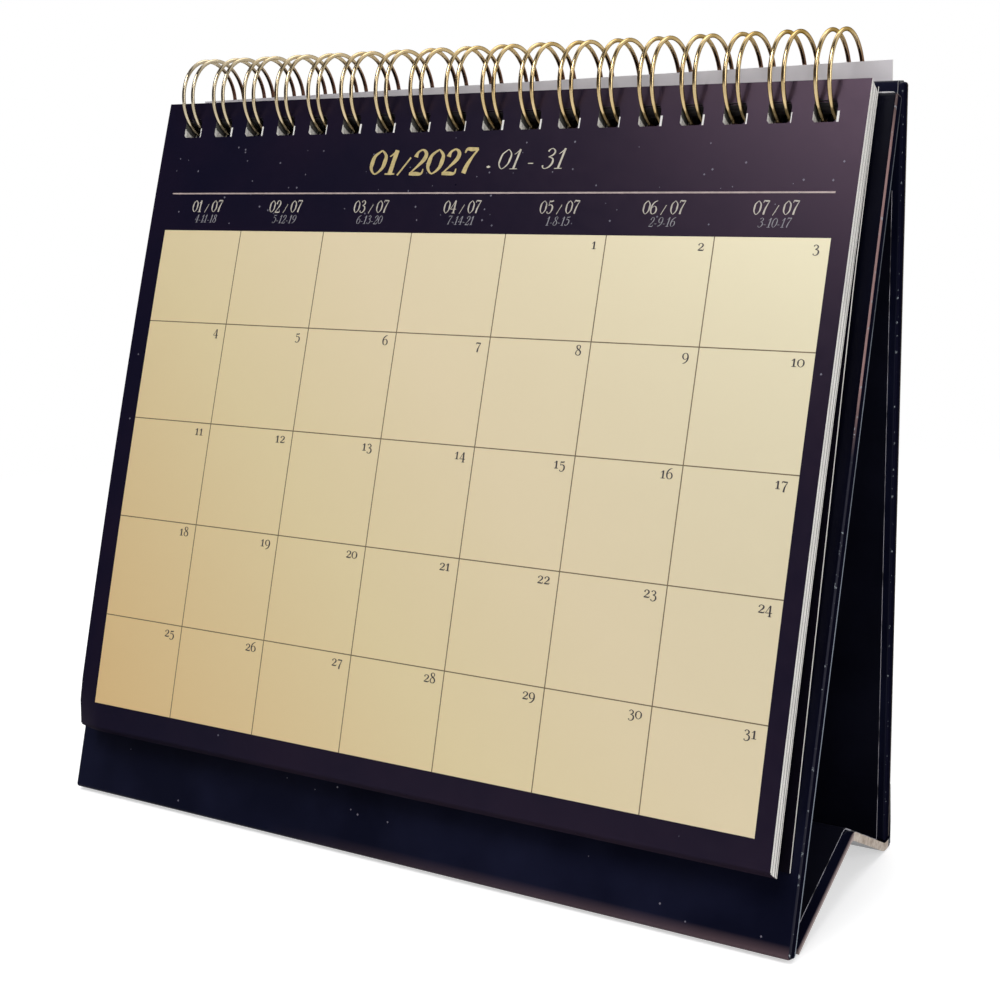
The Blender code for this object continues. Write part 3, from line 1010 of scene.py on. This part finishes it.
def wire_path():
    """Centre line of the wire as (x, angle round the ring), hairpin after hairpin."""
    corner = SPINE_CORNER / RING_RADIUS
    clear = (2 * WIRE_RADIUS + TIP_CLEARANCE) / RING_RADIUS
    tip = TIP_SPREAD / 2
    leg_start = SPINE_ANGLE + corner
    leg_end = SPINE_ANGLE + math.tau - clear - tip / RING_RADIUS
    # Corner from the spine into a leg, mirrored where the next leg leads back to the spine
    corners = []
    for k in range(CORNER_STEPS):
        turn = math.pi / 2 * k / CORNER_STEPS
        aside = ROOT_SPREAD / 2 + SPINE_CORNER * (1 - math.sin(turn))
        corners.append((aside, leg_start - corner * math.cos(turn)))
    path = []
    for index in range(LOOP_COUNT):
        x = loop_centre(index)
        sway = random.uniform(-LOOP_SWAY, LOOP_SWAY)
        legs = []
        for k in range(LEG_STEPS + 1):
            share = k / LEG_STEPS
            half = (ROOT_SPREAD + (TIP_SPREAD - ROOT_SPREAD) * share) / 2
            half += LOOP_BULGE * math.sin(math.pi * share ** 2)
            lean = (LOOP_LEAN + sway) * math.sin(math.pi * share)
            legs.append((half, lean, leg_start + (leg_end - leg_start) * share))
        if index:
            path += [(x - aside, angle) for aside, angle in corners]
        path += [(x + lean - half, angle) for half, lean, angle in legs]
        for k in range(1, BEND_STEPS):
            turn = math.pi * k / BEND_STEPS
            path.append((x - tip * math.cos(turn), leg_end + tip / RING_RADIUS * math.sin(turn)))
        path += [(x + lean + half, angle) for half, lean, angle in reversed(legs)]
        if index < LOOP_COUNT - 1:
            path += [(x + aside, angle) for aside, angle in reversed(corners)]
    return path


def wire_loops():
    curve = bpy.data.curves.new("wire_loops", "CURVE")
    curve.dimensions = "3D"
    curve.bevel_depth = WIRE_RADIUS
    curve.bevel_resolution = 4
    curve.use_fill_caps = True
    curve.materials.append(gold_wire())
    points = wire_path()
    spline = curve.splines.new("POLY")
    spline.points.add(len(points) - 1)
    spline.use_smooth = True
    for point, (x, angle) in zip(spline.points, points):
        place = RING + Vector((x, RING_RADIUS * math.cos(angle), RING_RADIUS * math.sin(angle)))
        point.co = (*place, 1.0)
    wire = add_object("wire_loops", curve)
    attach(wire, EASEL)
    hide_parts("wire_binding")


# Easel

WRAP, FRONT_FOLD, REAR_FOLD, RAW, TURNED_IN = range(5)


def add_block(work, middle, size):
    """Box about a middle."""
    made = bmesh.ops.create_cube(work, size=1.0)["verts"]
    bmesh.ops.scale(work, vec=size, verts=made)
    bmesh.ops.translate(work, vec=middle, verts=made)


def hole_cutter(middle, turn, raw):
    """Punches through a board, about the middle of their row."""
    work = bmesh.new()
    for index in range(LOOP_COUNT):
        add_block(work, (loop_centre(index), 0.0, 0.0), (HOLE_WIDTH, PUNCH_DEPTH, HOLE_HEIGHT))
    through = []
    for edge in work.edges:
        start, end = edge.verts
        if abs((start.co - end.co).normalized().y) > 0.9:
            through.append(edge)
    bmesh.ops.bevel(work, geom=through, offset=HOLE_ROUND, segments=3, affect="EDGES", profile=0.5)
    work.transform(Matrix.Translation(middle) @ turn)
    return finish_mesh("hole_cutter", work, [raw])


def wrapped_board(name, node, low, high, turn, holes, materials):
    """Board wrapped in laminate, its folds rounded, flecked with wear and given painted glints, its
    holes punched raw.
    """
    work = bmesh.new()
    add_block(work, (Vector(high) + Vector(low)) / 2, Vector(high) - Vector(low))
    edges = work.edges[:]
    bmesh.ops.bevel(work, geom=edges, offset=BOARD_ROUND, segments=4, affect="EDGES", profile=0.5)
    line = high[1] - BOARD_ROUND - REAR_LINE
    everything = work.verts[:] + work.edges[:] + work.faces[:]
    bmesh.ops.bisect_plane(work, geom=everything, plane_co=(0.0, line, 0.0), plane_no=BACK)
    work.normal_update()
    for face in work.faces:
        sideways = abs(face.normal.x)
        if sideways < GLINT_FACING[0]:
            face.material_index = WRAP
        elif face.calc_center_median().y > line:
            face.material_index = REAR_FOLD
        else:
            face.material_index = FRONT_FOLD if sideways < GLINT_FACING[1] else TURNED_IN
    work.transform(Matrix.Translation(RING) @ turn)
    board = finish_mesh(name, work, materials)
    cutter = hole_cutter(RING + turn @ Vector(holes), turn, materials[RAW])
    cut = board.modifiers.new("Punched holes", "BOOLEAN")
    cut.operation = "DIFFERENCE"
    cut.solver = "EXACT"
    cut.material_mode = "TRANSFER"
    cut.object = cutter
    flat = board.modifiers.new("Flat faces", "WEIGHTED_NORMAL")
    flat.keep_sharp = True
    with bpy.context.temp_override(object=board, active_object=board, selected_objects=[board]):
        bpy.ops.object.modifier_apply(modifier=cut.name)
        bpy.ops.object.modifier_apply(modifier=flat.name)
    bpy.data.objects.remove(cutter)
    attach(board, EASEL)
    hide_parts(node)


def offset_path(path, distance):
    """A (y, z) path moved to its left by a distance, with mitred corners."""
    moved = []
    for i, here in enumerate(path):
        before = (here - path[i - 1]).normalized() if i else None
        after = (path[i + 1] - here).normalized() if i + 1 < len(path) else None
        before = before or after
        after = after or before
        normal = Vector((-before.y - after.y, before.x + after.x)).normalized()
        moved.append(here + normal * distance / normal.dot(Vector((-after.y, after.x))))
    return moved


def rounded(path, reach, steps=4):
    """A path with its corners drawn round, starting a short way before each of them."""
    points = [path[0]]
    for before, corner, after in zip(path, path[1:], path[2:]):
        start = corner + (before - corner).normalized() * reach
        end = corner + (after - corner).normalized() * reach
        for k in range(steps + 1):
            t = k / steps
            points.append((1 - t) ** 2 * start + 2 * t * (1 - t) * corner + t ** 2 * end)
    return points + [path[-1]]


def crossing(start, end, other_start, other_end):
    """Point where the line through the first two points meets the line through the others."""
    along = end - start
    other = other_end - other_start
    return start + along * (other_start - start).cross(other) / along.cross(other)


def strip(name, path, thickness, half, slot, materials):
    """Closed strip on the left of a (y, z) path, as wide as twice the half width."""
    sides = (path, offset_path(path, thickness))
    across = filled([-half, half], BOARD_CELL)
    along = list(range(len(path)))

    def point(x, s, side):
        return Vector((x, *sides[side][s]))

    thing = sheet(name, across, along, point, slot, materials)
    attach(thing, EASEL)
    return thing


def board_rear(height):
    """Place of the front board's rear face at a height above the ground."""
    corner = leaning(0.0, FRONT_BOARD_DROP + FRONT_BOARD_LENGTH, BOARD_THICKNESS)
    return corner.y + (height - corner.z) * math.tan(LEAN)


def base_path():
    """Underside of the base: from behind the front board, over the crease, to the rear foot."""
    foot = board_rear(0.0)
    inner, outer = BACK_BOARD[0][1], BACK_BOARD[1][1]
    crease = foot + CREASE_SHARE * (outer - foot)
    slope = math.atan2(CREASE_HEIGHT, crease - foot)
    start = board_rear(BASE_THICKNESS) + SEAT_GAP + BASE_THICKNESS * math.sin(slope)
    points = ((start, 0.0), (crease, CREASE_HEIGHT), (inner - SEAT_GAP, 0.0), (outer, 0.0))
    return [Vector(point) for point in points]


def rear_wrap(wrap):
    """Cover paper that bulges a little over the joint of the back board and the base."""
    rear = BACK_BOARD[1][1] + HINGE_GAP
    path = [Vector((rear + bulge, height)) for bulge, height in REAR_WRAP]
    half = BOARD_WIDTH / 2
    joint = strip("rear_wrap", path, REAR_WRAP_THICKNESS, half, lambda kind, x, s: 0, [wrap])


def base_slope():
    foot, crease = base_path()[:2]
    return math.atan2(crease.y - foot.y, crease.x - foot.x)


def base_panel(wrap, raw):
    """Creased base, its ends wrapped in front of the crease and bare behind it."""
    path = rounded(base_path(), CREASE_ROUND)
    path.insert(-1, path[-1] - Vector((BASE_TURN_IN, 0.0)))
    start, crease = base_path()[:2]
    behind = [i for i, spot in enumerate(path) if spot.x >= crease.x]

    def slot(kind, x, s):
        if kind != "edge" or not 0 < s < len(path) - 2:
            return 0
        return 1 if s > behind[0] else 2

    materials = [wrap, raw, base_fold(base_slope(), start.x)]
    panel = strip("base_strip", path, BASE_THICKNESS, BOARD_WIDTH / 2, slot, materials)
    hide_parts("base_panel")


def inner_lining(paper, edges):
    """Lining paper glued inside the easel: down the front board, over the base, up the back."""
    lift = BOARD_THICKNESS + LINING_GAP
    front_top = Vector(leaning(0.0, LINING_TOP, lift).yz)
    front_low = Vector(leaning(0.0, FRONT_BOARD_LENGTH, lift).yz)
    base_front, crease, rear_bend = offset_path(base_path(), BASE_THICKNESS + LINING_GAP)[:3]
    rear_y = BACK_BOARD[0][1] - LINING_GAP
    rear_top = Vector((rear_y, front_top.y))
    front_foot = crossing(front_top, front_low, base_front, crease)
    rear_foot = crossing(rear_top, Vector((rear_y, 0.0)), crease, rear_bend)
    corners = [front_top, front_foot, crease, rear_foot, rear_top]
    path = rounded(corners, CREASE_ROUND)

    def slot(kind, x, s):
        if kind != "edge":
            return 0
        y, z = path[min(int(s), len(path) - 1)]
        if z > LINING_LEAVES_BASE:
            return 1 if y < crease.x else 3
        return 2

    half = BOARD_WIDTH / 2 - LINING_RECESS
    lining = strip("lining_sheet", path, LINING_THICKNESS, half, slot, [paper, *edges])
    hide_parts("inner_lining")


def top_hinge(wrap, edge):
    """Strip of cover paper from the front board's top edge over the back board's top."""
    front_start = Vector(leaning(0.0, FRONT_BOARD_DROP - HINGE_GAP, BOARD_ROUND).yz)
    riser = BACK_BOARD[0][1] - HINGE_GAP
    slope = math.tan(LEAN)
    riser_foot = front_start.y - (riser - front_start.x) * slope
    ridge = BACK_BOARD[1][2] + HINGE_GAP
    rear = BACK_BOARD[1][1] + HINGE_GAP
    path = rounded([
        front_start,
        Vector((riser - HINGE_THICKNESS, riser_foot + HINGE_THICKNESS * slope)),
        Vector((riser, ridge)),
        Vector((rear, ridge)),
        Vector((rear, ridge - HINGE_TAIL)),
    ], HINGE_ROUND, 2)

    def slot(kind, x, s):
        return 1 if kind == "edge" and path[int(s)].x < riser else 0

    half = BOARD_WIDTH / 2 - HINGE_INSET
    hinge = strip("hinge_strip", path, HINGE_THICKNESS, half, slot, [wrap, edge])
    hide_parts("top_hinge")


def build_easel():
    navy = (0.0034, 0.0040, 0.0125)
    wrap = laminate("Laminated wrap", navy, 0.16)[0]
    front = front_wrap(navy, 0.16)
    turned = plain_ink("Wrap turned in", (0.004, 0.004, 0.011), 0.9, 0.0, 0.0)
    # The rosy and grey folds carry painted glints along the front and rear arrises of the front board;
    # the dark fold has none.
    rosy_fold = worn_fold("Rosy glint on fold", (0.25, 0.15, 0.145), GLINT_LOW, GLINT_HIGH)
    steel_fold = worn_fold("Grey glint on fold", (0.24, 0.27, 0.32), -BOARD_WIDTH, BOARD_WIDTH, 0.0)
    dark_fold = worn_fold("Dark fold", (0.03, 0.03, 0.05), 0.0, NEVER_GLINTING, 0.0)
    # Punched walls: the raw greyboard darkened as painted shade inside the holes.
    punched_wall = raw_board("Punched greyboard", 0.18)
    raw = raw_board("Raw greyboard", 1.0)
    lining = laminate("Lining paper", (0.0022, 0.0024, 0.0065), 0.38)[0]
    half = BOARD_WIDTH / 2
    top = -FRONT_BOARD_DROP - RING_RISE
    hole_y = BOARD_THICKNESS / 2 - RING_SETBACK
    wrapped_board(
        "front_board_wrap", "front_board",
        (-half, -RING_SETBACK, top - FRONT_BOARD_LENGTH),
        (half, BOARD_THICKNESS - RING_SETBACK, top),
        Matrix.Rotation(-LEAN, 4, "X"),
        (0.0, hole_y, -RING_RISE - HOLE_MARGIN - HOLE_HEIGHT / 2),
        (front, rosy_fold, steel_fold, punched_wall, turned),
    )
    low, high = (Vector(corner) - RING for corner in BACK_BOARD)
    hole_y = (low.y + high.y) / 2
    wrapped_board(
        "back_board_wrap", "back_board", low, high,
        Matrix.Identity(4),
        (0.0, hole_y, -math.sqrt(RING_RADIUS ** 2 - hole_y ** 2)),
        (wrap, dark_fold, dark_fold, punched_wall, turned),
    )
    base_panel(wrap, raw)
    rear_wrap(wrap)
    # One cut edge in three tones by where it lies: pale on the base, painted shade along the front
    # board, darker painted shade along the back board.
    inner_lining(lining, (
        lining_edge("Lining edge in front", (0.10, 0.12, 0.16), 0.4),
        lining_edge("Lining edge on the base", (0.42, 0.41, 0.46), 0.5),
        lining_edge("Lining edge behind", (0.07, 0.07, 0.10), 0.0),
    ))
    top_hinge(wrap, lining_edge("Hinge edge", (0.62, 0.60, 0.62), 0.8))


# Stage, light and camera


def larger(tree, one, other):
    return add_node(tree, "Math", one, other, operation="MAXIMUM").outputs["Value"]


def mixed(tree, share, one, other):
    return add_node(tree, "MixShader", share, one, other).outputs["Shader"]


def glow(tree, kind, tone, strength=1.0):
    return add_node(tree, kind, tone, strength).outputs[0]


def shown_rays(tree):
    """1 for rays that show the background: from the camera, off metal or through glass."""
    rays = add_node(tree, "LightPath").outputs
    straight = larger(tree, rays["Is Camera Ray"], rays["Is Transmission Ray"])
    return larger(tree, straight, rays["Is Glossy Ray"])


def build_floor():
    """Pale floor that keeps the object's shadow and runs out to white around it."""
    mesh = bpy.data.meshes.new("studio_floor")
    work = bmesh.new()
    bmesh.ops.create_circle(work, cap_ends=True, segments=96, radius=FLOOR_RADIUS)
    work.to_mesh(mesh)
    work.free()
    floor = add_object("studio_floor", mesh)
    floor.location.z = min(0.0, cad_low[2]) - FLOOR_DROP
    material = bpy.data.materials.new("Studio floor")
    material.use_nodes = True
    tree = material.node_tree
    tree.nodes.clear()
    place = add_node(tree, "TexCoord").outputs["Object"]
    reach = add_node(tree, "VectorMath", place, operation="LENGTH").outputs["Value"]
    away = add_node(tree, "MapRange", reach, *SHADOW_REACH).outputs["Result"]
    diffuse = add_node(tree, "BsdfDiffuse", grey(0.62)).outputs["BSDF"]
    light = glow(tree, "Emission", WHITE, 0.55)
    near = add_node(tree, "AddShader", diffuse, light).outputs["Shader"]
    seen = mixed(tree, away, near, glow(tree, "Emission", WHITE))
    add_node(tree, "OutputMaterial", mixed(tree, shown_rays(tree), diffuse, seen))
    mesh.materials.append(material)


def build_world():
    """White background, with the dim studio that lies behind the camera mirrored in the gloss."""
    world = bpy.data.worlds.new("Studio")
    bpy.context.scene.world = world
    world.use_nodes = True
    tree = world.node_tree
    tree.nodes.clear()
    place = add_node(tree, "TexCoord").outputs["Generated"]
    y = add_node(tree, "SeparateXYZ", place).outputs["Y"]
    depth = add_node(tree, "MapRange", y, -1.0, 1.0).outputs["Result"]
    gloss = ramp(depth, (0.52, MIRRORED_DARK), (0.62, WHITE))
    light = ramp(depth, (0.0, (0.14, 0.14, 0.15)), (0.45, (0.24, 0.24, 0.25)), (1.0, grey(0.90)))
    glossy = add_node(tree, "LightPath").outputs["Is Glossy Ray"]
    white, mirrored, studio = (
        glow(tree, "Background", tone) for tone in (WHITE, gloss, light))
    shown = mixed(tree, glossy, white, mirrored)
    add_node(tree, "OutputWorld", mixed(tree, shown_rays(tree), studio, shown))


def add_lamp(name, place, size, power):
    """White area lamp aimed at the middle of the object."""
    light = bpy.data.lights.new(name, "AREA")
    light.shape = "RECTANGLE"
    light.size, light.size_y = size
    light.energy = power
    lamp = add_object(name, light)
    lamp.location = place
    lamp.rotation_euler = (LAMP_AIM - Vector(place)).to_track_quat("-Z", "Y").to_euler()


def build_lights():
    add_lamp("Key", (-0.10, -0.75, 1.35), (1.0, 0.5), 13.0)
    add_lamp("Fill", (-1.10, -1.15, 0.16), (0.9, 0.4), 0.2)
    add_lamp("Sheen", (-0.20, -0.80, 0.88), (0.34, 0.20), 1.35)
    add_lamp("Side", (1.20, -0.45, 0.55), (0.7, 0.9), 6.5)
    add_lamp("Top back", (-0.2, 0.75, 1.1), (1.2, 0.6), 6.0)


def build_camera():
    camera = add_object("Camera", bpy.data.cameras.new("Camera"))
    camera.location = CAMERA_PLACE
    camera.rotation_euler = [math.radians(angle) for angle in CAMERA_TURN]
    camera.data.lens = CAMERA_LENS
    camera.data.sensor_width = 36.0
    camera.data.clip_start = 0.01
    bpy.context.scene.camera = camera


def build():
    card = white_card("White card", (0.72, 0.71, 0.68))
    cover_card = white_card("Cover card", (0.74, 0.71, 0.74))
    # The first three edge tones differ at random from leaf to leaf; the last is painted shade for the
    # upper walls of the holes.
    lights = (0.96, 0.91, 0.76, 0.10)
    edges = [cut_edge(f"Cut paper edge {i}", light) for i, light in enumerate(lights, 1)]
    ground = build_month_leaves(card, edges)
    cover_leaf(cover_card, edges[1], ground)
    wire_loops()
    build_easel()
    build_floor()
    build_world()
    build_lights()
    build_camera()
    bpy.context.scene.view_settings.view_transform = "Standard"


build()
